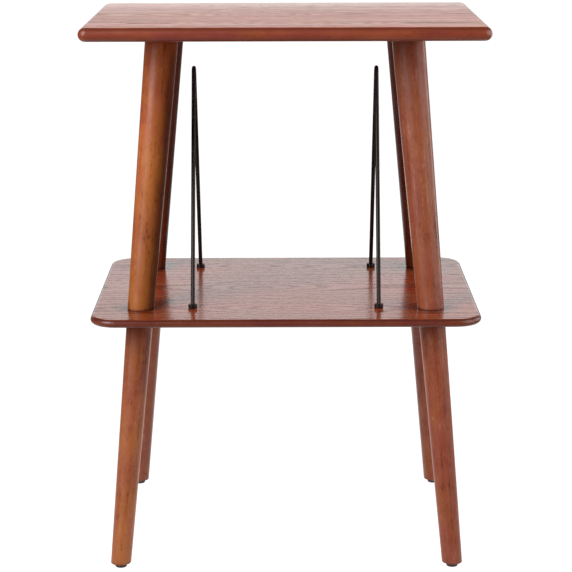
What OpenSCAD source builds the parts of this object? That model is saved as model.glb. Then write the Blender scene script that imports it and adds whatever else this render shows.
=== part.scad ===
// Two-tier side stand with a shelf for upright 12-inch sleeves.
// A thick veneered top and a thin veneered shelf stand on four splayed,
// tapering round legs. Each leg is in two lengths that meet at the shelf.
// Two bent-wire dividers stand on the shelf, and each leg ends in a
// screw-in levelling foot.
// Millimetres. Origin on the floor under the middle of the stand,
// +X to the right, +Y to the rear, +Z up.

/* [Top] */
// Height of the top surface above the floor
top_z = 648; // [600:1:700]
// Width of the top, left to right
top_w = 468; // [440:1:520]
// Depth of the top, front to rear
top_d = 338; // [330:1:380]
// Thickness of the top
top_t = 16; // [14:0.5:20]
// Radius of the top's corners, seen from above
top_corner_r = 10; // [10:0.5:14]
// Width of the solid wood lipping round the top's core
lipping_w = 15; // [15:0.5:20]
// Thickness of the face and backing veneers
veneer_t = 0.6; // [0.5:0.1:1]

/* [Shelf] */
// Height of the shelf's upper surface above the floor
shelf_z = 310; // [290:1:330]
// Width of the shelf, left to right
shelf_w = 460; // [440:1:500]
// Depth of the shelf, front to rear
shelf_d = 342; // [330:1:380]
// Thickness of the shelf
shelf_t = 9.5; // [8:0.5:12]
// Radius of the shelf's corners, seen from above
shelf_corner_r = 31; // [15:1:45]

/* [Legs] */
// Distance from the middle to each leg's axis at the shelf, left to right
leg_x_at_shelf = 172.9; // [165:0.1:180]
// Distance from the middle to each leg's axis at the shelf, front to rear
leg_y_at_shelf = 110.6; // [105:0.1:118]
// How far a leg leans outward left to right, per mm of height
leg_lean_x = 0.088; // [0.05:0.001:0.11]
// How far a leg leans outward front to rear, per mm of height
leg_lean_y = 0.14; // [0.1:0.001:0.15]
// Radius of a leg at floor level
leg_floor_r = 12.13; // [11.5:0.01:14]
// Gain in a leg's radius per mm of height
leg_taper = 0.012; // [0.008:0.001:0.015]

/* [Leg fasteners] */
// Diameter of the hanger bolts
bolt_d = 8; // [6:1:8]
// Length of bolt held in the wood of a leg
bolt_in_leg = 32; // [25:1:40]
// Outside diameter of the threaded inserts
insert_d = 12; // [11:0.5:13]
// Length of the inserts in the underside of the top
top_insert_l = 11; // [8:0.5:11]
// Length of the inserts in the lower ends of the upper legs
leg_insert_l = 18; // [14:1:22]
// Diameter of the bolt holes through the shelf
shelf_hole_d = 8.6; // [8.4:0.1:9]

/* [Levelling feet] */
// Height of the legs' lower ends above the floor with the feet screwed in
foot_gap = 5; // [5:0.1:6]
// Diameter of the foot pads
pad_d = 14; // [13:0.5:18]
// Thickness of the foot pads
pad_t = 2.6; // [2.6:0.1:3]
// Diameter of the threaded stems
stem_d = 6; // [6:0.1:6.1]
// Length of stem above its flange
stem_l = 20.3; // [18:0.1:22]
// Diameter of the round flange on each stem
flange_d = 13; // [11:0.5:13]
// Outside diameter of the threaded sleeves in the legs
sleeve_d = 10; // [9.5:0.5:11]
// Length of the threaded sleeves
sleeve_l = 12; // [10:0.5:13]

/* [Dividers] */
// Distance from the middle to each divider, left to right
divider_x = 110.9; // [95:0.1:120]
// Distance from the middle to the divider's feet, front to rear
divider_foot_y = 110; // [90:0.5:115]
// Height of the divider's highest point above the shelf
divider_h = 276; // [230:1:300]
// Diameter of the divider wire
wire_d = 5; // [4:0.5:6]
// Centre-line radius of the bend at the top of a divider
apex_bend_r = 8; // [7:0.5:14]
// Diameter of the collars at the divider's feet
collar_d = 10.7; // [9:0.1:13]
// Height of the collars
collar_h = 4.8; // [4.5:0.1:8]
// Diameter of the threaded studs below the collars
stud_d = 5; // [4:0.5:6]
// Diameter of the washers under the shelf
washer_d = 11; // [10:0.5:14]
// Thickness of the washers
washer_t = 1; // [0.8:0.1:1.5]
// Size across flats of the nuts under the shelf
nut_af = 8; // [8:0.5:10]
// Height of the nuts
nut_h = 4; // [3:0.5:5]
// Length of stud that shows below a nut
stud_end = 2; // [1:0.5:3]

/* [Hidden] */
$fn = 96;
clear_bore_r = 0.05;                 // running clearance round a stem, each side
snug = 0.04;                         // a fixed bolt's or insert's hole is this much wider
top_under_z = top_z - top_t;
shelf_under_z = shelf_z - shelf_t;
lean_n = sqrt(1 + leg_lean_x * leg_lean_x + leg_lean_y * leg_lean_y);
foot_x = leg_x_at_shelf + leg_lean_x * (shelf_z - foot_gap);
foot_y = leg_y_at_shelf + leg_lean_y * (shelf_z - foot_gap);
// corners: [left or right, front or rear]
FL = [-1, -1];
FR = [1, -1];
RL = [-1, 1];
RR = [1, 1];
CORNERS = [FL, FR, RL, RR];
// Divider outline, in its own plane: the centre of the top bend, the height of
// the rods' lower ends inside the collars, and the rods' slope and length
bend_z = shelf_z + divider_h - wire_d / 2 - apex_bend_r;
rod_z = shelf_z + 2.2;
span = norm([divider_foot_y, bend_z - rod_z]);
slope = atan2(divider_foot_y, bend_z - rod_z) - asin(apex_bend_r / span);
rod_l = sqrt(span * span - apex_bend_r * apex_bend_r);

WOOD = [0.47, 0.21, 0.12];
WOOD_DARK = [0.38, 0.15, 0.09];
BOARD = [0.62, 0.5, 0.36];
BLACK = [0.05, 0.05, 0.055];
STEEL = [0.66, 0.66, 0.68];
BRASS = [0.75, 0.6, 0.3];

// ---------- shared shapes ----------

// Half disc with its flat side on x = 0, for a fully rounded edge
module half_disc(t) {
    intersection() {
        translate([0, t / 2]) circle(d = t);
        translate([0, -t / 2]) square([t, 2 * t]);
    }
}

// Panel with rounded plan corners and a fully rounded edge, standing on z = 0
module panel(w, d, t, rc) {
    r = t / 2;
    k = rc - r;
    translate([-(w / 2 - rc), -(d / 2 - r), 0]) cube([w - 2 * rc, d - 2 * r, t]);
    for (s = [0, 180]) rotate([0, 0, s]) {
        // front or rear edge
        translate([0, d / 2 - r, 0]) rotate([90, 0, 90])
            linear_extrude(w - 2 * rc, center = true) half_disc(t);
        // side strip with its edge
        translate([w / 2 - rc, -(d / 2 - rc), 0]) cube([k, d - 2 * rc, t]);
        translate([w / 2 - r, 0, 0]) rotate([90, 0, 0])
            linear_extrude(d - 2 * rc, center = true) half_disc(t);
    }
    for (c = [[1, 1, 0], [-1, 1, 90], [-1, -1, 180], [1, -1, 270]])
        translate([c[0] * (w / 2 - rc), c[1] * (d / 2 - rc), 0]) rotate([0, 0, c[2]])
            rotate_extrude(angle = 90) {
                square([k, t]);
                translate([k, 0]) half_disc(t);
            }
}

// Layer of everything between two heights
module layer(z0, z1) {
    translate([-400, -400, z0]) cube([800, 800, z1 - z0]);
}

module tube(d_out, d_in, h) {
    difference() {
        cylinder(d = d_out, h = h);
        translate([0, 0, -1]) cylinder(d = d_in, h = h + 2);
    }
}

// Turned piece from a half outline
module turned(points) {
    rotate_extrude() polygon(points);
}

function leg_x(z) = leg_x_at_shelf + leg_lean_x * (shelf_z - z);
function leg_y(z) = leg_y_at_shelf + leg_lean_y * (shelf_z - z);
function leg_r(z) = leg_floor_r + leg_taper * z;

// Stands its children on a leg's leaning axis, at height z
module on_leg(c, z) {
    translate([c[0] * leg_x(z), c[1] * leg_y(z), z])
        rotate([asin(c[1] * leg_lean_y / lean_n), -atan(c[0] * leg_lean_x), 0])
            children();
}

module at_foot(c) {
    translate([c[0] * foot_x, c[1] * foot_y, 0]) children();
}

// One length of a leg, cut level at both ends
module leg_length(c, z0, z1) {
    intersection() {
        on_leg(c, z0 - 30)
            cylinder(h = (z1 - z0 + 60) * lean_n, r1 = leg_r(z0 - 30), r2 = leg_r(z1 + 30));
        layer(z0, z1);
    }
}

// Holes for the four leg bolts and the four divider studs that pass through the shelf
module shelf_holes() {
    for (c = CORNERS) on_leg(c, shelf_z) translate([0, 0, -shelf_t - 12])
        cylinder(d = shelf_hole_d, h = shelf_t + 24);
    for (x = [-1, 1], y = [-1, 1])
        translate([x * divider_x, y * divider_foot_y, shelf_under_z - 5])
            cylinder(d = stud_d + 0.4, h = shelf_t + 10);
}

module insert_holes() {
    for (c = CORNERS) on_leg(c, top_under_z) translate([0, 0, -4])
        cylinder(d = insert_d + snug, h = 4 + 1.5 + top_insert_l);
}

// ---------- top ----------

module top_panel() {
    translate([0, 0, top_under_z]) panel(top_w, top_d, top_t, top_corner_r);
}

module top_core() {
    color(BOARD) difference() {
        translate([-(top_w / 2 - lipping_w), -(top_d / 2 - lipping_w), top_under_z + veneer_t])
            cube([top_w - 2 * lipping_w, top_d - 2 * lipping_w, top_t - 2 * veneer_t]);
        insert_holes();
    }
}

module top_face_veneer() {
    color(WOOD) intersection() {
        top_panel();
        layer(top_z - veneer_t, top_z + 1);
    }
}

module top_under_veneer() {
    color(WOOD_DARK) difference() {
        intersection() {
            top_panel();
            layer(top_under_z - 1, top_under_z + veneer_t);
        }
        insert_holes();
    }
}

// Mitred strip along one side: across is the panel's size towards that side,
// along is its size the other way
module lipping(across, along, turn) {
    e = 2;
    color(WOOD) intersection() {
        top_panel();
        translate([0, 0, top_under_z + veneer_t]) rotate([0, 0, turn])
            linear_extrude(top_t - 2 * veneer_t)
                polygon([[-along / 2 - e, -across / 2 - e], [along / 2 + e, -across / 2 - e],
                         [along / 2 - lipping_w, -across / 2 + lipping_w],
                         [-along / 2 + lipping_w, -across / 2 + lipping_w]]);
    }
}

module top_lipping_front() lipping(top_d, top_w, 0);
module top_lipping_rear() lipping(top_d, top_w, 180);
module top_lipping_left() lipping(top_w, top_d, 270);
module top_lipping_right() lipping(top_w, top_d, 90);

// ---------- shelf ----------

module shelf_panel() {
    translate([0, 0, shelf_under_z]) panel(shelf_w, shelf_d, shelf_t, shelf_corner_r);
}

module shelf_slice(z0, z1) {
    difference() {
        intersection() {
            shelf_panel();
            layer(z0, z1);
        }
        shelf_holes();
    }
}

module shelf_core() color(WOOD_DARK) shelf_slice(shelf_under_z + veneer_t, shelf_z - veneer_t);
module shelf_face_veneer() color(WOOD) shelf_slice(shelf_z - veneer_t, shelf_z + 1);
module shelf_under_veneer() color(WOOD_DARK) shelf_slice(shelf_under_z - 1, shelf_under_z + veneer_t);

// ---------- legs ----------

module upper_leg(c) {
    color(WOOD) difference() {
        leg_length(c, shelf_z, top_under_z);
        on_leg(c, top_under_z) translate([0, 0, -bolt_in_leg]) cylinder(d = bolt_d + snug, h = bolt_in_leg + 5);
        on_leg(c, shelf_z) translate([0, 0, -5]) cylinder(d = insert_d + snug, h = 5 + 2 + leg_insert_l);
        on_leg(c, shelf_z) translate([0, 0, leg_insert_l]) cylinder(d = bolt_d + 0.6, h = 8);
    }
}

module lower_leg(c) {
    color(WOOD) difference() {
        leg_length(c, foot_gap, shelf_under_z);
        on_leg(c, shelf_under_z) translate([0, 0, -bolt_in_leg]) cylinder(d = bolt_d + snug, h = bolt_in_leg + 5);
        at_foot(c) translate([0, 0, foot_gap - 2]) cylinder(d = sleeve_d + snug, h = sleeve_l + 2);
        at_foot(c) translate([0, 0, foot_gap]) cylinder(d = stem_d + 0.8, h = stem_l + 2);
    }
}

module upper_leg_front_left() upper_leg(FL);
module upper_leg_front_right() upper_leg(FR);
module upper_leg_rear_left() upper_leg(RL);
module upper_leg_rear_right() upper_leg(RR);
module lower_leg_front_left() lower_leg(FL);
module lower_leg_front_right() lower_leg(FR);
module lower_leg_rear_left() lower_leg(RL);
module lower_leg_rear_right() lower_leg(RR);

// ---------- leg fasteners ----------

// Threaded inserts in the underside of the top, set a little below the surface
module top_inserts() {
    color(BRASS) for (c = CORNERS) on_leg(c, top_under_z) translate([0, 0, 1.5])
        tube(insert_d, bolt_d + snug, top_insert_l);
}

// Bolts from the upper legs into the top
module top_hanger_bolts() {
    color(STEEL) for (c = CORNERS) on_leg(c, top_under_z) translate([0, 0, -bolt_in_leg])
        cylinder(d = bolt_d, h = bolt_in_leg + top_insert_l);
}

// Threaded inserts in the lower ends of the upper legs
module upper_leg_inserts() {
    color(BRASS) for (c = CORNERS) on_leg(c, shelf_z) translate([0, 0, 2])
        tube(insert_d, bolt_d + snug, leg_insert_l);
}

// Bolts from the lower legs, through the shelf, into the upper legs
module shelf_hanger_bolts() {
    color(STEEL) for (c = CORNERS) on_leg(c, shelf_under_z) translate([0, 0, -bolt_in_leg])
        cylinder(d = bolt_d, h = bolt_in_leg + shelf_t + leg_insert_l);
}

// ---------- dividers ----------

// One rod of a divider in its plane (x = front to rear, y = up), about the
// centre of the top bend
module divider_rod(d) {
    rotate([0, 0, slope]) translate([apex_bend_r, -rod_l, 0]) rotate([-90, 0, 0]) cylinder(d = d, h = rod_l);
}

// One half of a divider: a rod and half of the top bend
module divider_half() {
    intersection() {
        union() {
            divider_rod(wire_d);
            rotate([0, 0, slope]) rotate_extrude(angle = 100 - slope)
                translate([apex_bend_r, 0]) circle(d = wire_d);
        }
        translate([0, -400, -50]) cube([400, 500, 100]);
    }
}

module divider(side) {
    color(BLACK) translate([side * divider_x, 0, bend_z]) rotate([90, 0, 90]) {
        divider_half();
        mirror([1, 0, 0]) divider_half();
    }
}

module divider_left() divider(-1);
module divider_right() divider(1);

module at_divider_feet(z) {
    for (x = [-1, 1], y = [-1, 1]) translate([x * divider_x, y * divider_foot_y, z]) children();
}

// Round collars on the shelf, each with its threaded stud. The rods' ends are
// held in sloping holes in the collars.
module divider_feet() {
    e = 0.5;
    r = collar_d / 2;
    low = -(shelf_t + washer_t + nut_h + stud_end);
    color(BLACK) difference() {
        at_divider_feet(shelf_z)
            turned([[0, low], [stud_d / 2 - e, low], [stud_d / 2, low + e], [stud_d / 2, 0],
                    [r - e, 0], [r, e], [r, collar_h - e], [r - e, collar_h], [0, collar_h]]);
        for (x = [-1, 1], s = [0, 1]) translate([x * divider_x, 0, bend_z]) rotate([90, 0, 90])
            mirror([s, 0, 0]) divider_rod(wire_d + snug);
    }
}

module divider_washers() {
    color(STEEL) at_divider_feet(shelf_under_z - washer_t) tube(washer_d, stud_d + 0.3, washer_t);
}

// Hexagon nuts, with their corners turned off above and below
module divider_nuts() {
    corner = nut_af / cos(30) / 2;
    e = 0.35;
    color(STEEL) at_divider_feet(shelf_under_z - washer_t - nut_h) difference() {
        intersection() {
            cylinder(r = corner, h = nut_h, $fn = 6);
            turned([[0, 0], [nut_af / 2, 0], [corner + 0.1, e], [corner + 0.1, nut_h - e],
                    [nut_af / 2, nut_h], [0, nut_h]]);
        }
        translate([0, 0, -1]) cylinder(d = stud_d + snug, h = nut_h + 2);
    }
}

// ---------- levelling feet ----------

// Threaded sleeves in the lower legs
module foot_sleeves() {
    color(STEEL) for (c = CORNERS) at_foot(c) translate([0, 0, foot_gap])
        tube(sleeve_d, stem_d + 2 * clear_bore_r, sleeve_l);
}

// Stem with its flange, and the pivot disc that snaps into the pad
module foot_stem(c) {
    z1 = pad_t + 0.3;
    z2 = foot_gap - 0.3;
    r = stem_d / 2;
    color(STEEL) at_foot(c)
        turned([[0, 0.95], [3.2, 0.95], [3.2, 1.7], [2, 1.7], [2, z1],
                [flange_d / 2 - 0.3, z1], [flange_d / 2, z1 + 0.3],
                [flange_d / 2, z2 - 0.3], [flange_d / 2 - 0.3, z2],
                [r, z2], [r, z2 + stem_l - 0.8], [r - 0.8, z2 + stem_l], [0, z2 + stem_l]]);
}

// Pad with the socket that the stem turns in
module foot_pad(c) {
    color(BLACK) at_foot(c)
        turned([[0, 0], [pad_d / 2 - 0.5, 0], [pad_d / 2, 0.5], [pad_d / 2, pad_t - 0.4],
                [pad_d / 2 - 0.4, pad_t], [2 + clear_bore_r, pad_t], [2 + clear_bore_r, 1.95],
                [3.4, 1.95], [3.4, 0.75], [0, 0.75]]);
}

module foot_stem_front_left() foot_stem(FL);
module foot_stem_front_right() foot_stem(FR);
module foot_stem_rear_left() foot_stem(RL);
module foot_stem_rear_right() foot_stem(RR);
module foot_pad_front_left() foot_pad(FL);
module foot_pad_front_right() foot_pad(FR);
module foot_pad_rear_left() foot_pad(RL);
module foot_pad_rear_right() foot_pad(RR);

top_core();
top_face_veneer();
top_under_veneer();
top_lipping_front();
top_lipping_rear();
top_lipping_left();
top_lipping_right();
shelf_core();
shelf_face_veneer();
shelf_under_veneer();
upper_leg_front_left();
upper_leg_front_right();
upper_leg_rear_left();
upper_leg_rear_right();
lower_leg_front_left();
lower_leg_front_right();
lower_leg_rear_left();
lower_leg_rear_right();
top_inserts();
top_hanger_bolts();
upper_leg_inserts();
shelf_hanger_bolts();
divider_left();
divider_right();
divider_feet();
divider_washers();
divider_nuts();
foot_sleeves();
foot_stem_front_left();
foot_stem_front_right();
foot_stem_rear_left();
foot_stem_rear_right();
foot_pad_front_left();
foot_pad_front_right();
foot_pad_rear_left();
foot_pad_rear_right();
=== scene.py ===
import math
import bpy
import bmesh
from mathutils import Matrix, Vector


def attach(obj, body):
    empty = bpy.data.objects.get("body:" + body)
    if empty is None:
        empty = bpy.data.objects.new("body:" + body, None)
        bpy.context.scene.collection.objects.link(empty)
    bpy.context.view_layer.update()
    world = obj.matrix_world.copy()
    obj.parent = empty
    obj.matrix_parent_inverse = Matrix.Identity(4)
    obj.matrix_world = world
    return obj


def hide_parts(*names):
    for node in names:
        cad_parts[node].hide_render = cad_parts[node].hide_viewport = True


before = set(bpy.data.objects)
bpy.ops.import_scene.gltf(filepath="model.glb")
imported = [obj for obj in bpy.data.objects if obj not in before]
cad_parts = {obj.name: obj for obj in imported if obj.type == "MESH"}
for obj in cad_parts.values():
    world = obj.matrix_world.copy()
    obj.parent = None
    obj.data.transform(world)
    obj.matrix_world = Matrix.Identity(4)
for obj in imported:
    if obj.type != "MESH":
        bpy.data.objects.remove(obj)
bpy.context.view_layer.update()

scene = bpy.context.scene
MM = 0.001

# ---------- measures of the stand, millimetres ----------

TOP_Z, TOP_UNDER_Z = 648.0, 632.0
SHELF_Z, SHELF_UNDER_Z = 310.0, 300.5
LEG_X, LEG_Y = 172.9, 110.6
LEAN_X, LEAN_Y = 0.088, 0.14
LEG_R0, LEG_K = 12.13, 0.012
FOOT_X, FOOT_Y = 199.74, 153.3
CORNERS = {"front_left": (-1, -1), "front_right": (1, -1), "rear_left": (-1, 1), "rear_right": (1, 1)}
DIV_X, DIV_FOOT_Y, WIRE_R = 110.9, 110.0, 2.5
BEND_Z, BEND_R, ROD_Z = 575.5, 8.0, 312.2
ROD_SLOPE = math.atan2(DIV_FOOT_Y, BEND_Z - ROD_Z) - math.asin(BEND_R / math.hypot(DIV_FOOT_Y, BEND_Z - ROD_Z))

# ---------- mesh helpers ----------


def finish_mesh(name, verts, faces, sharp=35.0):
    """A closed, outward-facing smooth mesh from millimetre points."""
    me = bpy.data.meshes.new(name)
    bm = bmesh.new()
    vs = [bm.verts.new(Vector(p) * MM) for p in verts]
    for f in faces:
        bm.faces.new([vs[i] for i in f])
    bmesh.ops.recalc_face_normals(bm, faces=bm.faces)
    bm.to_mesh(me)
    bm.free()
    me.polygons.foreach_set("use_smooth", [True] * len(me.polygons))
    me.set_sharp_from_angle(angle=math.radians(sharp))
    ob = bpy.data.objects.new(name, me)
    scene.collection.objects.link(ob)
    return ob


def loft(rings, verts, faces):
    """Joins rings of equal count into a skin. A single point closes an end."""
    last = None
    for ring in rings:
        start = len(verts)
        verts.extend(ring)
        here = list(range(start, len(verts)))
        if last is not None:
            n = max(len(last), len(here))
            for i in range(n):
                j = (i + 1) % n
                if len(last) == 1:
                    faces.append((last[0], here[j], here[i]))
                elif len(here) == 1:
                    faces.append((last[i], last[j], here[0]))
                else:
                    faces.append((last[i], last[j], here[j], here[i]))
        last = here


def circle(cx, cy, z, r, n):
    return [(cx + r * math.cos(2 * math.pi * i / n), cy + r * math.sin(2 * math.pi * i / n), z) for i in range(n)]


def lathe(cx, cy, outline, n):
    """Rings of a turned piece; a radius of 0 is a single point."""
    return [circle(cx, cy, z, r, n) if r > 0 else [(cx, cy, z)] for r, z in outline]


def thread(cx, cy, z_from, z_to, r, pitch, depth, n, step):
    """Rings of a right-hand thread that runs out at both ends."""
    rings = []
    count = max(2, int(abs(z_to - z_from) / step))
    for k in range(count + 1):
        z = z_from + (z_to - z_from) * k / count
        ends = min(1.0, abs(z - z_from) / (0.6 * pitch), abs(z_to - z) / (0.6 * pitch))
        ring = []
        for i in range(n):
            a = 2 * math.pi * i / n
            t = (z / pitch - a / (2 * math.pi)) % 1.0
            groove = 1 - abs(2 * t - 1)
            groove = min(1.0, max(0.0, (groove - 0.12) / 0.76))
            rr = r - depth * groove * ends
            ring.append((cx + rr * math.cos(a), cy + rr * math.sin(a), z))
        rings.append(ring)
    return rings


# ---------- turned legs ----------


def leg_frame(sx, sy):
    n = math.sqrt(1 + LEAN_X ** 2 + LEAN_Y ** 2)
    a = Vector((-sx * LEAN_X, -sy * LEAN_Y, 1)) / n
    u = (Vector((1, 0, 0)) - a * a.x).normalized()
    v = a.cross(u)
    return a, u, v


def axis_at(sx, sy, z):
    return Vector((sx * (LEG_X + LEAN_X * (SHELF_Z - z)), sy * (LEG_Y + LEAN_Y * (SHELF_Z - z)), z))


def level_ring(sx, sy, zp, r0, k, shrink, n):
    """Where a leaning cone meets a level plane."""
    a, u, v = leg_frame(sx, sy)
    out = []
    for i in range(n):
        f = 2 * math.pi * i / n
        d = u * math.cos(f) + v * math.sin(f)
        # the cone's radius grows with the axis height z: z + (r0 + k z) d.z = zp
        z = (zp - (r0 - shrink) * d.z) / (1 + k * d.z)
        out.append(tuple(axis_at(sx, sy, z) + d * (r0 + k * z - shrink)))
    return out


def square_ring(sx, sy, z, along, r, n):
    """A ring square to the leg's axis, a distance along it from height z."""
    a, u, v = leg_frame(sx, sy)
    c = axis_at(sx, sy, z) + a * along
    return [tuple(c + (u * math.cos(2 * math.pi * i / n) + v * math.sin(2 * math.pi * i / n)) * r) for i in range(n)]


def outer_profile(sx, sy, z0, z1, n, ease=0.8, step=11.0):
    """The outside of one leg length, from its lower face to its upper face."""
    low, high = [], []
    for q in range(6):
        t = math.radians(90 * q / 5)
        drop = ease * (1 - math.sin(t))
        shrink = ease * (1 - math.cos(t))
        low.append(level_ring(sx, sy, z0 + drop, LEG_R0, LEG_K, shrink, n))
        high.append(level_ring(sx, sy, z1 - drop, LEG_R0, LEG_K, shrink, n))
    m = max(2, int((z1 - z0 - 2 * ease) / step))
    mid = [level_ring(sx, sy, z0 + ease + (z1 - z0 - 2 * ease) * q / m, LEG_R0, LEG_K, 0, n) for q in range(1, m)]
    return low[::-1] + mid + high


def make_leg(corner, upper, n=96):
    sx, sy = CORNERS[corner]
    z0, z1 = (SHELF_Z, TOP_UNDER_Z) if upper else (5.0, SHELF_UNDER_Z)
    verts, faces = [], []
    a, u, v = leg_frame(sx, sy)
    if upper:
        start = axis_at(sx, sy, z0) + a * 26
        rings = [[tuple(start)], square_ring(sx, sy, z0, 26, 4.3, n), square_ring(sx, sy, z0, 20, 4.3, n),
                 square_ring(sx, sy, z0, 20, 6.02, n), square_ring(sx, sy, z0, 3, 6.02, n),
                 level_ring(sx, sy, z0, 6.02, 0, 0, n)]
    else:
        cx, cy = sx * FOOT_X, sy * FOOT_Y
        # the bore for the levelling foot stands upright; its rings start at the same turn as the leg's
        def upright(z, r):
            return [(cx + r * math.cos(2 * math.pi * i / n), cy + r * math.sin(2 * math.pi * i / n), z) for i in range(n)]
        rings = [[(cx, cy, 27.3)], upright(27.3, 3.4), upright(17, 3.4), upright(17, 5.02), upright(z0, 5.02)]
    rings += outer_profile(sx, sy, z0, z1, n)
    end = axis_at(sx, sy, z1) - a * 32
    rings += [level_ring(sx, sy, z1, 4.02, 0, 0, n), square_ring(sx, sy, z1, -8, 4.02, n),
              square_ring(sx, sy, z1, -32, 4.02, n), [tuple(end)]]
    loft(rings, verts, faces)
    ob = finish_mesh(("leg_upper_" if upper else "leg_lower_") + corner, verts, faces)
    # the billet that each leg was turned from: its own place in the wood, its own turn
    order = list(CORNERS).index(corner) + (0 if upper else 4)
    turn = [0.35, 2.1, 4.0, 5.3, 1.2, 2.75, 0.1, 3.3][order]
    tone = [0.46, 0.18, -0.15, 0.10, 0.50, 0.08, -0.35, 0.15][order]
    tilt = [-0.55, -0.25, 0.0, 0.0, -0.35, 0.35, 0.0, 0.0][order]
    # how dark each leg is stained, partly painted light: the upper legs that lamps are kept off are painted lighter
    depth = [0.95, 0.76, 0.90, 1.0, 0.76, 0.77, 0.68, 0.76][order]
    # the lacquer film: how much it mirrors, how much more edge-on, how much rougher it dried
    film = [(1.0, 0.55, 0.03), (1.35, 1.15, 0.12), (0.6, 0.6, 0.0), (0.8, 0.6, 0.0),
            (1.25, 0.45, 0.05), (1.2, 0.45, 0.05), (1.0, 0.6, 0.0), (1.0, 0.6, 0.0)][order]
    # the next two lists: the first darkens a leg towards its foot, partly the wood's own tone and on the front left
    # upper leg painted shade; the second is painted light on the top quarter of the front upper legs, just under the
    # top
    fade_and_shade = [0.30, 0.0, 0.0, 0.0, 0.0, 0.16, 0.25, 0.0][order]
    painted_light_near_top = [0.75, 0.35, 0.0, 0.0, 0.0, 0.0, 0.0, 0.0][order]
    base = axis_at(sx, sy, 0)
    ob.data.attributes.new("grain_co", "FLOAT_VECTOR", "POINT")
    ob.data.attributes.new("tone", "FLOAT", "POINT")
    ob.data.attributes.new("stain_and_painted_light", "FLOAT", "POINT")
    ob.data.attributes.new("film", "FLOAT_VECTOR", "POINT")
    flat, stain_and_painted_light, tones = [], [], []
    for p in ob.data.vertices:
        q = p.co / MM - base
        s, y, z = q.dot(a), q.dot(u), q.dot(v)
        t = (p.co.z / MM - z0) / (z1 - z0)
        stain_and_painted_light.append(depth * (1 + fade_and_shade * (t - 0.5) + painted_light_near_top * max(0.0, (t - 0.75) / 0.25) ** 2))
        tones.append(tone + tilt * (t - 0.5))
        flat += [(s + 900 * order) * MM,
                 (y * math.cos(turn) - z * math.sin(turn) + 60 * (order % 3) + 7) * MM,
                 (y * math.sin(turn) + z * math.cos(turn) + 90 * (order % 5)) * MM]
    ob.data.attributes["grain_co"].data.foreach_set("vector", flat)
    ob.data.attributes["tone"].data.foreach_set("value", tones)
    ob.data.attributes["stain_and_painted_light"].data.foreach_set("value", stain_and_painted_light)
    ob.data.attributes["film"].data.foreach_set("vector", list(film) * len(ob.data.vertices))
    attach(ob, "stand")
    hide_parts(("upper_leg_" if upper else "lower_leg_") + corner)
    return ob


legs = [make_leg(c, up) for up in (True, False) for c in CORNERS]

# ---------- bent-wire dividers ----------


def make_divider(side):
    """Round wire swept down one rod, round the bend and down the other."""
    n = 48
    x = side * DIV_X
    s = ROD_SLOPE
    top = (BEND_R * math.cos(s), BEND_Z + BEND_R * math.sin(s))
    length = (top[0] - DIV_FOOT_Y) / -math.sin(s)
    path = []
    for k in range(25):
        t = k / 24
        path.append((DIV_FOOT_Y + (top[0] - DIV_FOOT_Y) * t, ROD_Z + (top[1] - ROD_Z) * t, s))
    for k in range(1, 40):
        t = s + (math.pi - 2 * s) * k / 40
        path.append((BEND_R * math.cos(t), BEND_Z + BEND_R * math.sin(t), t))
    for k in range(25):
        t = 1 - k / 24
        path.append((-(DIV_FOOT_Y + (top[0] - DIV_FOOT_Y) * t), ROD_Z + (top[1] - ROD_Z) * t, math.pi - s))
    rings = []
    for y, z, t in path:
        out = (math.cos(t), math.sin(t))
        rings.append([(x + WIRE_R * math.sin(2 * math.pi * i / n),
                       y + WIRE_R * math.cos(2 * math.pi * i / n) * out[0],
                       z + WIRE_R * math.cos(2 * math.pi * i / n) * out[1]) for i in range(n)])
    first, last = path[0], path[-1]
    rings = [[(x, first[0], first[1])]] + rings + [[(x, last[0], last[1])]]
    verts, faces = [], []
    loft(rings, verts, faces)
    ob = finish_mesh("wire_divider_" + ("left" if side < 0 else "right"), verts, faces)
    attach(ob, "stand")
    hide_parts("divider_" + ("left" if side < 0 else "right"))
    return ob


dividers = [make_divider(-1), make_divider(1)]


def collar_hole(cx, cy, z, r, n):
    """Where the sloping hole for a rod meets a level plane."""
    s = ROD_SLOPE
    sy = 1 if cy > 0 else -1
    yc = cy - sy * (z - ROD_Z) * math.tan(s)
    return [(cx + r * math.cos(2 * math.pi * i / n), yc + r / math.cos(s) * math.sin(2 * math.pi * i / n), z) for i in range(n)]


def collar_hole_end(cx, cy, r, n):
    s = ROD_SLOPE
    sy = 1 if cy > 0 else -1
    ring = []
    for i in range(n):
        f = 2 * math.pi * i / n
        ring.append((cx + r * math.cos(f), cy + r * math.sin(f) * math.cos(s), ROD_Z - 0.02 + r * math.sin(f) * math.sin(s) * sy))
    return ring


def make_collars():
    verts, faces = [], []
    n = 56
    for sx in (-1, 1):
        for sy in (-1, 1):
            cx, cy = sx * DIV_X, sy * DIV_FOOT_Y
            r, z0, z1, e = 5.35, SHELF_Z, SHELF_Z + 4.8, 0.5
            outline = [(r - e, z0)]
            for q in range(1, 5):
                t = math.radians(90 * q / 4)
                outline.append((r - e + e * math.sin(t), z0 + e * (1 - math.cos(t))))
            for q in range(5):
                t = math.radians(90 * q / 4)
                outline.append((r - e + e * math.cos(t), z1 - e + e * math.sin(t)))
            rings = [[(cx, cy, 293.5)], circle(cx, cy, 293.5, 1.95, n)]
            rings += thread(cx, cy, 293.85, 300.4, 2.5, 0.8, 0.42, n, 0.1)
            rings += [circle(cx, cy, 300.5, 2.5, n), circle(cx, cy, z0, 2.5, n)]
            rings += lathe(cx, cy, outline, n)
            rings += [collar_hole(cx, cy, z1, 2.53, n), collar_hole(cx, cy, z1 - 1.2, 2.52, n),
                      collar_hole_end(cx, cy, 2.52, n), [(cx, cy, ROD_Z - 0.02)]]
            loft(rings, verts, faces)
    ob = finish_mesh("divider_collars", verts, faces)
    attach(ob, "stand")
    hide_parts("divider_feet")
    return ob


collars = make_collars()

# ---------- levelling stems ----------


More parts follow.
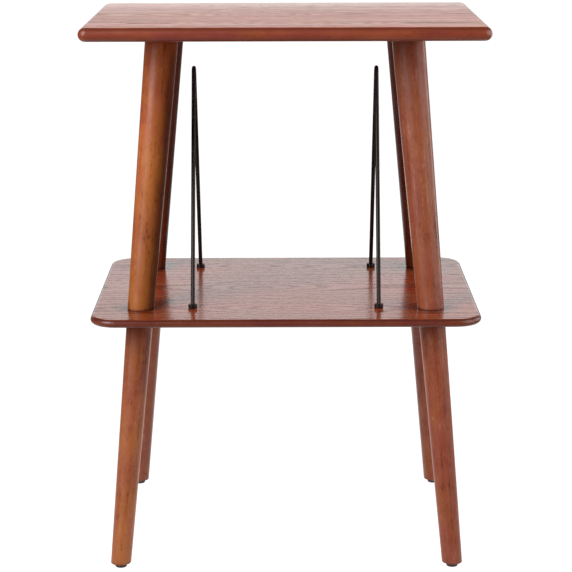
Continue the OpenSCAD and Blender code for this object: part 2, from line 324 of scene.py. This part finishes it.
def make_stem(corner):
    sx, sy = CORNERS[corner]
    cx, cy = sx * FOOT_X, sy * FOOT_Y
    n = 56
    outline = [(0, 0.95), (2.9, 0.95), (3.2, 1.2), (3.2, 1.5), (3.0, 1.7), (2, 1.7), (2, 2.9), (6.2, 2.9)]
    for q in range(1, 5):
        t = math.radians(90 * q / 4)
        outline.append((6.2 + 0.3 * math.sin(t), 2.9 + 0.3 * (1 - math.cos(t))))
    for q in range(5):
        t = math.radians(90 * q / 4)
        outline.append((6.2 + 0.3 * math.cos(t), 4.4 + 0.3 * math.sin(t)))
    outline.append((3.0, 4.7))
    rings = lathe(cx, cy, outline, n)
    rings += thread(cx, cy, 4.85, 24.2, 3.0, 1.0, 0.55, n, 0.11)
    rings += lathe(cx, cy, [(2.2, 25.0), (0, 25.0)], n)
    verts, faces = [], []
    loft(rings, verts, faces)
    ob = finish_mesh("levelling_stem_" + corner, verts, faces)
    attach(ob, "stem_" + corner)
    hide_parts("foot_stem_" + corner)
    return ob


stems = [make_stem(c) for c in CORNERS]

# ---------- material graphs ----------


class Graph:
    """Short names for the nodes of one material."""

    def __init__(self, name):
        self.mat = bpy.data.materials.new(name)
        self.mat.use_nodes = True
        self.t = self.mat.node_tree
        self.bsdf = self.t.nodes["Principled BSDF"]

    def put(self, socket, value):
        if isinstance(value, bpy.types.NodeSocket):
            self.t.links.new(value, socket)
        else:
            socket.default_value = value

    def op(self, kind, a, b=None, c=None, clamp=False):
        n = self.t.nodes.new("ShaderNodeMath")
        n.operation = kind
        n.use_clamp = clamp
        for s, v in zip(n.inputs, (a, b, c)):
            if v is not None:
                self.put(s, v)
        return n.outputs[0]

    def add(self, a, b): return self.op("ADD", a, b)
    def sub(self, a, b): return self.op("SUBTRACT", a, b)
    def mul(self, a, b): return self.op("MULTIPLY", a, b)

    def xyz(self, v):
        n = self.t.nodes.new("ShaderNodeSeparateXYZ")
        self.put(n.inputs[0], v)
        return n.outputs[0], n.outputs[1], n.outputs[2]

    def vec(self, x, y, z):
        n = self.t.nodes.new("ShaderNodeCombineXYZ")
        for s, v in zip(n.inputs, (x, y, z)):
            self.put(s, v)
        return n.outputs[0]

    def scaled(self, v, x, y, z):
        n = self.t.nodes.new("ShaderNodeVectorMath")
        n.operation = "MULTIPLY"
        self.put(n.inputs[0], v)
        n.inputs[1].default_value = (x, y, z)
        return n.outputs[0]

    def noise(self, v, scale=1.0, detail=2.0, rough=0.5, distort=0.0):
        n = self.t.nodes.new("ShaderNodeTexNoise")
        self.put(n.inputs["Vector"], v)
        n.inputs["Scale"].default_value = scale
        n.inputs["Detail"].default_value = detail
        n.inputs["Roughness"].default_value = rough
        n.inputs["Distortion"].default_value = distort
        return n.outputs[0]

    def cells(self, v, scale=1.0):
        n = self.t.nodes.new("ShaderNodeTexVoronoi")
        self.put(n.inputs["Vector"], v)
        n.inputs["Scale"].default_value = scale
        return n.outputs["Distance"]

    def span(self, v, a, b, lo=0.0, hi=1.0, smooth=True):
        n = self.t.nodes.new("ShaderNodeMapRange")
        n.interpolation_type = "SMOOTHSTEP" if smooth else "LINEAR"
        self.put(n.inputs["Value"], v)
        n.inputs["From Min"].default_value = a
        n.inputs["From Max"].default_value = b
        n.inputs["To Min"].default_value = lo
        n.inputs["To Max"].default_value = hi
        return n.outputs[0]

    def mix(self, f, a, b):
        n = self.t.nodes.new("ShaderNodeMix")
        n.data_type = "RGBA"
        self.put(n.inputs[0], f)
        self.put(n.inputs[6], a if isinstance(a, bpy.types.NodeSocket) else (*a, 1))
        self.put(n.inputs[7], b if isinstance(b, bpy.types.NodeSocket) else (*b, 1))
        return n.outputs[2]

    def shade(self, colour, by):
        """One colour times another."""
        n = self.t.nodes.new("ShaderNodeVectorMath")
        n.operation = "MULTIPLY"
        self.put(n.inputs[0], colour)
        self.put(n.inputs[1], by)
        return n.outputs[0]

    def tint(self, colour, f):
        """Colour times a number."""
        n = self.t.nodes.new("ShaderNodeVectorMath")
        n.operation = "SCALE"
        self.put(n.inputs[0], colour)
        self.put(n.inputs[3], f)
        return n.outputs[0]

    def place(self):
        return self.t.nodes.new("ShaderNodeTexCoord").outputs["Object"]

    def normal(self):
        return self.t.nodes.new("ShaderNodeTexCoord").outputs["Normal"]

    def facing(self):
        """0 where the surface faces the eye, 1 where it is seen edge-on."""
        return self.t.nodes.new("ShaderNodeLayerWeight").outputs["Facing"]

    def attribute(self, name, kind="Vector"):
        n = self.t.nodes.new("ShaderNodeAttribute")
        n.attribute_name = name
        return n.outputs[kind]

    def bump(self, height, strength, distance):
        n = self.t.nodes.new("ShaderNodeBump")
        n.inputs["Strength"].default_value = strength
        n.inputs["Distance"].default_value = distance
        self.put(n.inputs["Height"], height)
        self.put(self.bsdf.inputs["Normal"], n.outputs[0])

    def set(self, **kw):
        for k, v in kw.items():
            self.put(self.bsdf.inputs[k.replace("_", " ")], v)


def lacquer(g, rough, coat, coat_rough):
    g.set(Roughness=rough)
    g.bsdf.inputs["IOR"].default_value = 1.5
    g.bsdf.inputs["Coat Weight"].default_value = coat
    g.bsdf.inputs["Coat Roughness"].default_value = coat_rough
    g.bsdf.inputs["Coat IOR"].default_value = 1.5


def veneer(name, leaf, first, dark, mid, light, ring=0.0055, contrast=1.0, arris=None, rough=0.36,
           coat=0.25, coat_rough=0.3, streak=1.0, broad=46.0, patch=1.0, gloss=1.0, dashes=(48, 185),
           level=0.54, relief=0.35, cast=1.0, rear_shine=0.0, front_dull=0.0, painted_shade_spots=()):
    """Crown-cut open-grained veneer with its grain along X."""
    g = Graph(name)
    x, y, z = g.xyz(g.place())
    # leaves laid side by side across the grain
    k = g.op("FLOOR", g.mul(g.add(y, first), 1 / leaf))
    yl = g.sub(g.add(y, first), g.mul(g.add(k, 0.5), leaf))
    xl = g.add(x, g.mul(k, 0.137))
    # slow and quick wander of the grain
    w1 = g.sub(g.noise(g.vec(g.mul(x, 2.6), g.mul(y, 9), g.mul(k, 3.7)), 1, 3, 0.55), 0.5)
    w2 = g.sub(g.noise(g.vec(g.mul(x, 14), g.mul(y, 55), g.mul(k, 1.3)), 1, 3, 0.6), 0.5)
    yw = g.add(yl, g.add(g.mul(w1, 0.05), g.mul(w2, 0.006)))
    # distance from the heart of the tree, which lies a little below the sheet and leans
    wave = g.mul(g.op("SINE", g.add(g.mul(xl, 9.0), g.mul(k, 2.1))), 0.030)
    depth = g.add(wave, g.mul(g.sub(g.noise(g.vec(g.mul(x, 6), g.mul(k, 5.3), 0.0), 1, 2, 0.5), 0.5), 0.03))
    rad = g.op("SQRT", g.add(g.mul(yw, yw), g.mul(depth, depth)))
    ph = g.mul(g.add(rad, g.mul(w2, 0.004)), 1 / ring)
    t = g.op("FRACT", ph)
    early = g.mul(g.span(t, 0.0, 0.16), g.sub(1.0, g.span(t, 0.30, 0.72)))
    year = g.noise(g.vec(g.op("FLOOR", ph), g.mul(k, 7.7), 0.0), 3.1, 1, 0.5)
    early = g.mul(early, g.span(year, 0.25, 0.75, 0.35, 1.0, False))
    # fibres, pores and long streaks
    fib = g.noise(g.vec(g.mul(x, 16), g.mul(y, 420), g.mul(k, 2.9)), 1, 3, 0.62)
    pore = g.noise(g.vec(g.mul(x, 130), g.mul(y, 2300), 0.0), 1, 2, 0.55)
    pore = g.mul(g.span(pore, 0.53, 0.68), g.add(g.mul(early, 0.75), 0.25))
    band = g.noise(g.vec(g.mul(x, 1.3), g.mul(y, broad), g.mul(k, 4.1)), 1, 3, 0.6)
    blot = g.noise(g.vec(g.mul(x, 5), g.mul(y, 9), g.mul(k, 1.9)), 1, 3, 0.55)
    hue = g.noise(g.vec(g.mul(x, 4.2), g.mul(y, 0.5 * broad), g.add(g.mul(k, 2.3), 5.0)), 1, 3, 0.6)
    dash = g.noise(g.vec(g.mul(x, dashes[0]), g.add(g.mul(y, dashes[1]), g.mul(w1, 9)), g.mul(k, 6.1)), 1, 3, 0.6)
    v = g.add(0.62, g.mul(g.sub(fib, 0.5), 0.75 * contrast))
    v = g.add(v, g.mul(g.sub(dash, 0.5), 0.9 * contrast))
    v = g.add(v, g.mul(g.sub(band, 0.5), 1.5 * streak))
    v = g.sub(v, g.mul(early, 0.46 * contrast))
    v = g.sub(v, g.mul(pore, 0.42 * contrast))
    v = g.add(v, g.mul(g.sub(blot, 0.5), 0.5 * patch))
    col = g.mix(g.span(v, 0.0, 0.5, 0, 1, False), dark, mid)
    col = g.mix(g.span(v, 0.5, 1.05, 0, 1, False), col, light)
    # the stain has taken browner in some places and redder in others
    col = g.shade(col, g.mix(g.span(hue, 0.5 - 0.2 / cast, 0.5 + 0.2 / cast), (1.04, 0.74, 0.77), (0.97, 1.28, 1.19)))
    # painted shade: darker close to the pieces that stand on the sheet, where they shade it
    for px, py, near, far, keep in painted_shade_spots:
        dx, dy = g.sub(g.op("ABSOLUTE", x), px), g.sub(g.op("ABSOLUTE", y), py)
        d = g.op("SQRT", g.add(g.mul(dx, dx), g.mul(dy, dy)))
        col = g.tint(col, g.span(d, near, far, keep, 1.0))
    if arris is not None:
        nz = g.op("ABSOLUTE", g.xyz(g.normal())[2])
        edge = g.sub(1.0, g.span(nz, arris[0], arris[1]))
        col = g.mix(g.mul(edge, arris[2]), col, dark)
    g.set(**{"Base_Color": col})
    r = g.add(g.add(rough, g.mul(early, 0.07)), g.add(g.mul(pore, 0.14), g.mul(g.sub(blot, 0.5), 0.08)))
    r = g.sub(r, g.add(g.mul(g.sub(band, 0.5), 0.12 * streak), g.mul(g.sub(dash, 0.5), 0.16)))
    shine = g.span(y, 0.0, 0.165)
    r = g.sub(r, g.mul(shine, 0.09 * rear_shine))
    level = g.sub(level, g.span(y, -0.166, -0.09, front_dull, 0.0))
    lacquer(g, r, coat, coat_rough)
    # the lacquer sinks into the pores, so the sheen breaks up along the grain
    sheen = g.add(g.mul(g.sub(dash, 0.5), 1.5 * gloss), g.mul(g.sub(band, 0.5), 1.5 * gloss * streak))
    sheen = g.add(sheen, g.mul(g.sub(fib, 0.5), 0.9 * gloss))
    g.set(**{"Specular_IOR_Level": g.op("MAXIMUM", g.add(g.add(level, g.mul(shine, 0.3 * rear_shine)), g.sub(sheen, g.mul(early, 0.5 * gloss))), 0.05)})
    h = g.sub(g.mul(fib, 0.25), g.add(g.mul(pore, 0.9), g.mul(early, 0.8)))
    h = g.add(h, g.add(g.mul(band, 0.5 * streak), g.mul(dash, 0.9)))
    g.bump(h, relief, 0.00012)
    return g.mat


def solid(name, along, dark, mid, warm, pale, rough=0.42, coat=0.12, coat_rough=0.30, arris=None, figure=1.0, rim=None):
    """Close-grained solid wood. Along is 'attribute' for a turned leg, or 'x' or 'y'."""
    g = Graph(name)
    if along == "attribute":
        sx, sy, sz = g.xyz(g.attribute("grain_co"))
        tone = g.attribute("tone", "Fac")
    else:
        px, py, pz = g.xyz(g.place())
        sx, sy, sz = (px, py, pz) if along == "x" else (py, px, pz)
        tone = 0.3
    q = g.vec(sx, sy, sz)
    slow = g.noise(g.scaled(q, 11.0, 26, 26), 1, 3, 0.6)
    wide = g.noise(g.scaled(q, 9.0, 120, 120), 1, 3, 0.65)
    line = g.noise(g.scaled(q, 12.0, 330, 330), 1, 3, 0.6)
    blot = g.noise(g.scaled(q, 38, 62, 62), 1, 4, 0.65)
    tick = g.noise(g.scaled(q, 150, 480, 480), 1, 2, 0.6)
    speck = g.noise(g.scaled(q, 260, 400, 400), 1, 3, 0.65)
    fib = g.noise(g.scaled(q, 22, 620, 620), 1, 3, 0.65)
    fleck = g.noise(g.scaled(q, 210, 2100, 2100), 1, 2, 0.5)
    fleck = g.span(fleck, 0.6, 0.72)
    warp = g.sub(g.noise(g.scaled(q, 4.5, 38, 38), 1, 3, 0.5), 0.5)
    ph = g.mul(g.add(g.add(sy, g.mul(g.mul(sz, sz), 2.2)), g.mul(warp, 0.011)), 1 / 0.0042)
    t = g.op("FRACT", ph)
    late = g.mul(g.span(t, 0.35, 0.9), g.sub(1.0, g.span(t, 0.9, 1.0)))
    v = g.add(0.5, g.mul(g.sub(fib, 0.5), 0.4))
    v = g.add(v, g.mul(g.sub(wide, 0.5), 0.7 * figure))
    v = g.add(v, g.mul(g.sub(line, 0.5), 0.8 * figure))
    v = g.add(v, g.mul(g.sub(blot, 0.5), 0.9 * figure))
    v = g.add(v, g.mul(g.sub(tick, 0.5), 0.75 * figure))
    v = g.add(v, g.mul(g.sub(speck, 0.5), 0.65 * figure))
    v = g.sub(v, g.mul(late, 0.12 * figure))
    v = g.sub(v, g.mul(fleck, 0.2))
    hue = g.add(g.mul(g.sub(slow, 0.5), 1.7), tone)
    col = g.mix(g.span(hue, 0.15, 0.85), mid, warm)
    col = g.mix(g.span(v, 0.45, -0.1), col, dark)
    col = g.mix(g.span(v, 0.55, 1.15), col, pale)
    cast = g.noise(g.scaled(q, 17, 48, 48), 1, 3, 0.6)
    col = g.shade(col, g.mix(g.span(cast, 0.34, 0.66), (0.96, 0.87, 1.16), (1.02, 1.08, 0.82)))
    if arris is not None:
        nz = g.xyz(g.normal())[2]
        col = g.mix(g.mul(g.span(nz, arris[0], arris[1]), arris[2]), col, dark)
    if along == "attribute":
        # each leg's stain depth, together with the painted shade and painted light carried in its stain attribute
        col = g.tint(col, g.attribute("stain_and_painted_light", "Fac"))
        # a ragged dark joint line where a leg meets the shelf, partly painted contact shade, and painted shade along
        # the bottom of a lower leg at its foot
        pz = g.xyz(g.place())[2]
        rag = g.mul(g.sub(g.noise(g.scaled(q, 60, 300, 300), 1, 3, 0.6), 0.35), 0.004)
        near = g.op("ABSOLUTE", g.sub(pz, 0.310))
        col = g.mix(g.mul(g.span(g.sub(near, rag), 0.0028, 0.0002), 0.8), col, dark)
        col = g.mix(g.mul(g.span(pz, 0.009, 0.0045), 0.6), col, dark)
    g.set(**{"Base_Color": col})
    r = g.add(rough, g.add(g.mul(g.sub(wide, 0.5), 0.10), g.mul(fleck, 0.1)))
    level = g.op("MAXIMUM", g.add(0.32, g.add(g.mul(g.sub(line, 0.5), 0.25), g.mul(g.sub(blot, 0.5), 0.5))), 0.05)
    if along == "attribute":
        mirror, edge_on, dull = g.xyz(g.attribute("film"))
        level = g.mul(level, mirror)
        r = g.add(r, dull)
    lacquer(g, r, coat, coat_rough)
    if rim is not None:
        # the satin film mirrors more where it is seen edge-on
        g.set(**{"Coat_Weight": g.mul(edge_on, g.span(g.facing(), 0.40, 0.80, coat, rim))})
    g.set(**{"Specular_IOR_Level": level})
    g.bump(g.sub(g.mul(fib, 0.5), fleck), 0.25, 0.00008)
    return g.mat


def board(name, dark, light, rough):
    """Pressed board: fine chips with a slow stain variation."""
    g = Graph(name)
    p = g.place()
    chip = g.cells(g.scaled(p, 500, 900, 2600), 1)
    soft = g.noise(p, 28, 3, 0.6)
    fine = g.noise(g.scaled(p, 260, 260, 900), 1, 3, 0.6)
    v = g.add(g.mul(chip, 0.45), g.add(g.mul(soft, 0.5), g.mul(fine, 0.25)))
    g.set(**{"Base_Color": g.mix(g.span(v, 0.25, 0.95), dark, light)})
    g.set(Roughness=g.span(fine, 0.2, 0.8, rough - 0.05, rough + 0.08))
    g.bump(fine, 0.2, 0.00008)
    return g.mat


def black_coat(name):
    """Satin black powder coat: a faint orange-peel and slightly worn sheen."""
    g = Graph(name)
    p = g.place()
    peel = g.noise(p, 900, 2, 0.5)
    rub = g.noise(g.scaled(p, 60, 60, 14), 1, 3, 0.6)
    g.set(**{"Base_Color": g.mix(g.span(rub, 0.35, 0.75), (0.0070, 0.0037, 0.0030), (0.0135, 0.0085, 0.0075))})
    g.set(Roughness=g.span(rub, 0.3, 0.7, 0.30, 0.40))
    g.bsdf.inputs["IOR"].default_value = 1.31
    g.bsdf.inputs["Specular Tint"].default_value = (1.0, 0.87, 0.84, 1)
    g.bump(peel, 0.12, 0.00006)
    return g.mat


def zinc(name, tint=(0.62, 0.62, 0.64), tint2=(0.46, 0.47, 0.50)):
    """Zinc-plated steel: cloudy plating with fine turning lines."""
    g = Graph(name)
    p = g.place()
    cloud = g.noise(p, 260, 4, 0.6)
    fine = g.noise(g.scaled(p, 500, 500, 9000), 1, 2, 0.5)
    g.set(**{"Base_Color": g.mix(cloud, tint2, tint)})
    g.bsdf.inputs["Metallic"].default_value = 1.0
    g.set(Roughness=g.span(g.add(cloud, g.mul(fine, 0.3)), 0.35, 0.95, 0.40, 0.58))
    g.bump(g.add(fine, g.mul(cloud, 0.5)), 0.15, 0.00003)
    return g.mat


def moulded(name):
    """Black moulded plastic with a fine spark texture and dusty tone."""
    g = Graph(name)
    p = g.place()
    spark = g.noise(p, 2600, 2, 0.6)
    dust = g.noise(p, 190, 3, 0.6)
    g.set(**{"Base_Color": g.mix(g.span(dust, 0.3, 0.8), (0.030, 0.021, 0.018), (0.072, 0.052, 0.045))})
    g.set(Roughness=g.span(dust, 0.3, 0.7, 0.5, 0.66))
    g.bump(spark, 0.3, 0.00006)
    return g.mat


V_DARK, V_MID, V_LIGHT = (0.085, 0.013, 0.0052), (0.248, 0.041, 0.0125), (0.350, 0.077, 0.027)
# painted light: the top's veneer colours are a lighter copy of the shelf's, for the light that falls on the open top
# while the shelf lies in its shade
TOP_DARK, TOP_MID, TOP_LIGHT = (0.100, 0.017, 0.008), (0.305, 0.056, 0.0165), (0.410, 0.116, 0.044)
L_DARK, L_MID, L_WARM, L_PALE = (0.115, 0.024, 0.011), (0.280, 0.058, 0.017), (0.390, 0.110, 0.023), (0.48, 0.19, 0.070)

mats = {
    "top_face": veneer("veneer_top", 0.115, 0.172, TOP_DARK, TOP_MID, TOP_LIGHT, arris=(0.90, 0.997, 0.85), ring=0.0048,
                       rough=0.345, coat=0.3, coat_rough=0.26, streak=0.9, broad=26.0, patch=1.2, gloss=0.95,
                       level=0.38, cast=1.4, rear_shine=0.90, front_dull=0.22),
    "shelf_face": veneer("veneer_shelf", 0.114, 0.171, V_DARK, V_MID, V_LIGHT, arris=(0.90, 0.997, 0.9), ring=0.0088,
                         rough=0.215, coat_rough=0.15, streak=0.15, gloss=0.55, dashes=(125, 190), level=0.45, relief=0.2,
                         painted_shade_spots=((0.1729, 0.1106, 0.014, 0.042, 0.42), (DIV_X * MM, DIV_FOOT_Y * MM, 0.004, 0.014, 0.75))),
    "under": veneer("veneer_under", 0.16, 0.30, V_DARK, V_MID, V_LIGHT, ring=0.004, contrast=0.7, rough=0.45, coat=0.1),
    "lip_x": solid("lipping_long", "x", L_DARK, (0.190, 0.034, 0.0165), (0.262, 0.056, 0.0205), (0.29, 0.088, 0.042),
                   rough=0.36, coat_rough=0.3, arris=(0.25, 0.85, 0.80), figure=0.8),
    "lip_y": solid("lipping_short", "y", L_DARK, (0.190, 0.034, 0.0165), (0.262, 0.056, 0.0205), (0.29, 0.088, 0.042),
                   rough=0.36, coat_rough=0.3, arris=(0.25, 0.85, 0.80), figure=0.8),
    "shelf_edge": solid("shelf_edge", "x", (0.045, 0.008, 0.005), (0.128, 0.024, 0.013), (0.160, 0.033, 0.014),
                        (0.18, 0.045, 0.022), rough=0.34, arris=(0.25, 0.85, 0.7), figure=0.8),
    "leg": solid("leg_wood", "attribute", L_DARK, L_MID, L_WARM, L_PALE, rough=0.45, coat=0.07, coat_rough=0.14, rim=0.9),
    "raw": board("raw_board", (0.27, 0.17, 0.09), (0.55, 0.42, 0.27), 0.8),
    "black": black_coat("black_powder_coat"),
    "zinc": zinc("zinc_plate"),
    "brass": zinc("turned_brass", (0.78, 0.57, 0.24), (0.62, 0.44, 0.17)),
    "pad": moulded("pad_plastic"),
}

USE = {"top_face_veneer": "top_face", "top_under_veneer": "under", "top_lipping_front": "lip_x", "top_lipping_rear": "lip_x",
       "top_lipping_left": "lip_y", "top_lipping_right": "lip_y", "top_core": "raw", "shelf_core": "shelf_edge",
       "shelf_face_veneer": "shelf_face", "shelf_under_veneer": "under", "top_inserts": "brass", "upper_leg_inserts": "brass",
       "top_hanger_bolts": "zinc", "shelf_hanger_bolts": "zinc", "divider_washers": "zinc", "divider_nuts": "zinc",
       "foot_sleeves": "zinc"}
for name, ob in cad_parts.items():
    if name.startswith("foot_pad_"):
        use = "pad"
    elif name.startswith("foot_stem_"):
        use = "zinc"
    elif "_leg_" in name and name not in USE:
        use = "leg"
    elif name.startswith("divider_") and name not in USE:
        use = "black"
    else:
        use = USE[name]
    ob.data.materials.clear()
    ob.data.materials.append(mats[use])
for group, use in ((legs, "leg"), (dividers, "black"), ([collars], "black"), (stems, "zinc")):
    for ob in group:
        ob.data.materials.append(mats[use])

# ---------- plain pale floor, soft light, camera ----------

FLOOR_Z = -0.0085
bm = bmesh.new()
bmesh.ops.create_circle(bm, cap_ends=True, segments=96, radius=14.0)
me = bpy.data.meshes.new("studio_floor")
bm.to_mesh(me)
bm.free()
floor = bpy.data.objects.new("studio_floor", me)
scene.collection.objects.link(floor)
floor.location = (0, 0, FLOOR_Z)
fm = bpy.data.materials.new("studio_floor")
fm.use_nodes = True
nt = fm.node_tree
nt.nodes.clear()
out = nt.nodes.new("ShaderNodeOutputMaterial")
dif = nt.nodes.new("ShaderNodeBsdfDiffuse")
dif.inputs["Color"].default_value = (0.15, 0.15, 0.15, 1)
emi = nt.nodes.new("ShaderNodeEmission")
emi.inputs["Strength"].default_value = 0.96
summ = nt.nodes.new("ShaderNodeAddShader")
clear = nt.nodes.new("ShaderNodeBsdfTransparent")
geo = nt.nodes.new("ShaderNodeNewGeometry")
mixer = nt.nodes.new("ShaderNodeMixShader")
# the paper runs from under the object to the rear; in front of it the room is dim
place = nt.nodes.new("ShaderNodeTexCoord")
split = nt.nodes.new("ShaderNodeSeparateXYZ")
nt.links.new(place.outputs["Object"], split.inputs[0])
paper = nt.nodes.new("ShaderNodeMapRange")
paper.interpolation_type = "SMOOTHSTEP"
nt.links.new(split.outputs["Y"], paper.inputs["Value"])
for k, v in (("From Min", -0.75), ("From Max", 0.05), ("To Min", 0.12), ("To Max", 0.96)):
    paper.inputs[k].default_value = v
# the paper is narrow; to the right a pale wall comes back, to the left the room is dark
across = None
for lo, hi, a, b in ((-1.1, -0.45, 0.12, 1.0), (0.32, 0.80, 1.0, 0.12), (1.05, 2.4, 1.0, 0.8)):
    f = nt.nodes.new("ShaderNodeMapRange")
    f.interpolation_type = "SMOOTHSTEP"
    nt.links.new(split.outputs["X"], f.inputs["Value"])
    for k, v in (("From Min", lo), ("From Max", hi), ("To Min", a), ("To Max", b)):
        f.inputs[k].default_value = v
    times = nt.nodes.new("ShaderNodeMath")
    times.operation = "MULTIPLY"
    nt.links.new(across.outputs[0] if across else paper.outputs[0], times.inputs[0])
    nt.links.new(f.outputs[0], times.inputs[1])
    across = times
seen = nt.nodes.new("ShaderNodeLightPath")
level = nt.nodes.new("ShaderNodeMix")
level.data_type = "FLOAT"
nt.links.new(seen.outputs["Is Camera Ray"], level.inputs[0])
nt.links.new(across.outputs[0], level.inputs[2])
level.inputs[3].default_value = 1.03
nt.links.new(level.outputs[0], emi.inputs["Strength"])
nt.links.new(dif.outputs[0], summ.inputs[0])
nt.links.new(emi.outputs[0], summ.inputs[1])
nt.links.new(geo.outputs["Backfacing"], mixer.inputs[0])
nt.links.new(summ.outputs[0], mixer.inputs[1])
nt.links.new(clear.outputs[0], mixer.inputs[2])
nt.links.new(mixer.outputs[0], out.inputs["Surface"])
floor.data.materials.append(fm)

world = bpy.data.worlds.new("studio")
scene.world = world
world.use_nodes = True
wt = world.node_tree
bg = wt.nodes["Background"]
tc = wt.nodes.new("ShaderNodeTexCoord")
sep = wt.nodes.new("ShaderNodeSeparateXYZ")
wt.links.new(tc.outputs["Generated"], sep.inputs[0])


def world_range(value, a, b, lo, hi):
    n = wt.nodes.new("ShaderNodeMapRange")
    n.interpolation_type = "SMOOTHSTEP"
    wt.links.new(value, n.inputs["Value"])
    for k, v in (("From Min", a), ("From Max", b), ("To Min", lo), ("To Max", hi)):
        n.inputs[k].default_value = v
    return n.outputs[0]


# the paper backdrop stands behind the object and lights it from there
rear = world_range(sep.outputs["Y"], 0.72, 0.97, 0.0, 1.0)
high = world_range(sep.outputs["Z"], 0.08, 0.66, 1.0, 0.03)
m1 = wt.nodes.new("ShaderNodeMath"); m1.operation = "MULTIPLY"
wt.links.new(rear, m1.inputs[0]); wt.links.new(high, m1.inputs[1])
m2 = wt.nodes.new("ShaderNodeMath"); m2.operation = "MULTIPLY_ADD"
wt.links.new(m1.outputs[0], m2.inputs[0]); m2.inputs[1].default_value = 1.27; m2.inputs[2].default_value = 0.08
lp = wt.nodes.new("ShaderNodeLightPath")
pick = wt.nodes.new("ShaderNodeMix")
pick.data_type = "FLOAT"
wt.links.new(lp.outputs["Is Camera Ray"], pick.inputs[0])
wt.links.new(m2.outputs[0], pick.inputs[2])
pick.inputs[3].default_value = 1.05
wt.links.new(pick.outputs[0], bg.inputs["Strength"])
bg.inputs["Color"].default_value = (1, 1, 1, 1)


def softbox(name, place, aim, size, power, colour=(1, 1, 1)):
    light = bpy.data.lights.new(name, "AREA")
    light.shape = "RECTANGLE"
    light.size, light.size_y = size
    light.energy = power
    light.color = colour
    ob = bpy.data.objects.new(name, light)
    scene.collection.objects.link(ob)
    ob.location = place
    ob.rotation_euler = (Vector(aim) - Vector(place)).to_track_quat("-Z", "Y").to_euler()
    ob.visible_camera = False
    return ob


key = softbox("softbox_key", (-1.62, -1.60, 1.68), (0, 0, 0.35), (1.35, 2.0), 92)
side = softbox("softbox_side", (1.25, -0.62, 0.85), (0.15, 0, 0.3), (1.0, 1.4), 15)
rim = softbox("softbox_rim", (1.75, 0.60, 0.78), (0.17, 0, 0.5), (0.8, 1.3), 12)
over = softbox("softbox_over", (0, -0.15, 2.2), (0, 0, 0.65), (1.2, 1.2), 11)
kick = softbox("softbox_kick", (-1.75, -0.75, 0.92), (0.16, -0.09, 0.55), (0.5, 0.7), 3.5)


def keep_off(light, *pieces):
    """The light doesn't cross the stand to these pieces."""
    group = bpy.data.collections.new(light.name + "_reach")
    light.light_linking.receiver_collection = group
    for ob in pieces:
        group.objects.link(ob)
    for item in group.collection_objects:
        item.light_linking.link_state = "EXCLUDE"


by_name = {ob.name: ob for ob in legs}
keep_off(key, by_name["leg_upper_rear_right"])
keep_off(side, by_name["leg_upper_front_left"], by_name["leg_upper_rear_left"])
keep_off(rim, by_name["leg_upper_front_left"], by_name["leg_upper_rear_left"])

def only_on(light, *pieces):
    """The light is flagged down to these pieces."""
    group = bpy.data.collections.new(light.name + "_reach")
    light.light_linking.receiver_collection = group
    for ob in pieces:
        group.objects.link(ob)


only_on(kick, by_name["leg_upper_front_right"])
only_on(over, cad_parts["top_face_veneer"])

cam = bpy.data.cameras.new("camera")
cam_obj = bpy.data.objects.new("camera", cam)
scene.collection.objects.link(cam_obj)
cam.sensor_width = 36.0
cam.lens = 119.58
cam_obj.location = (0.0003, -2.309, 0.857)
cam_obj.rotation_euler = (math.radians(90 - 13.314), math.radians(0), 0)
cam_obj.rotation_euler.rotate_axis("Z", math.radians(-0.165))
cam.clip_start, cam.clip_end = 0.05, 50
scene.camera = cam_obj
scene.view_settings.view_transform = "Standard"
scene.view_settings.look = "None"
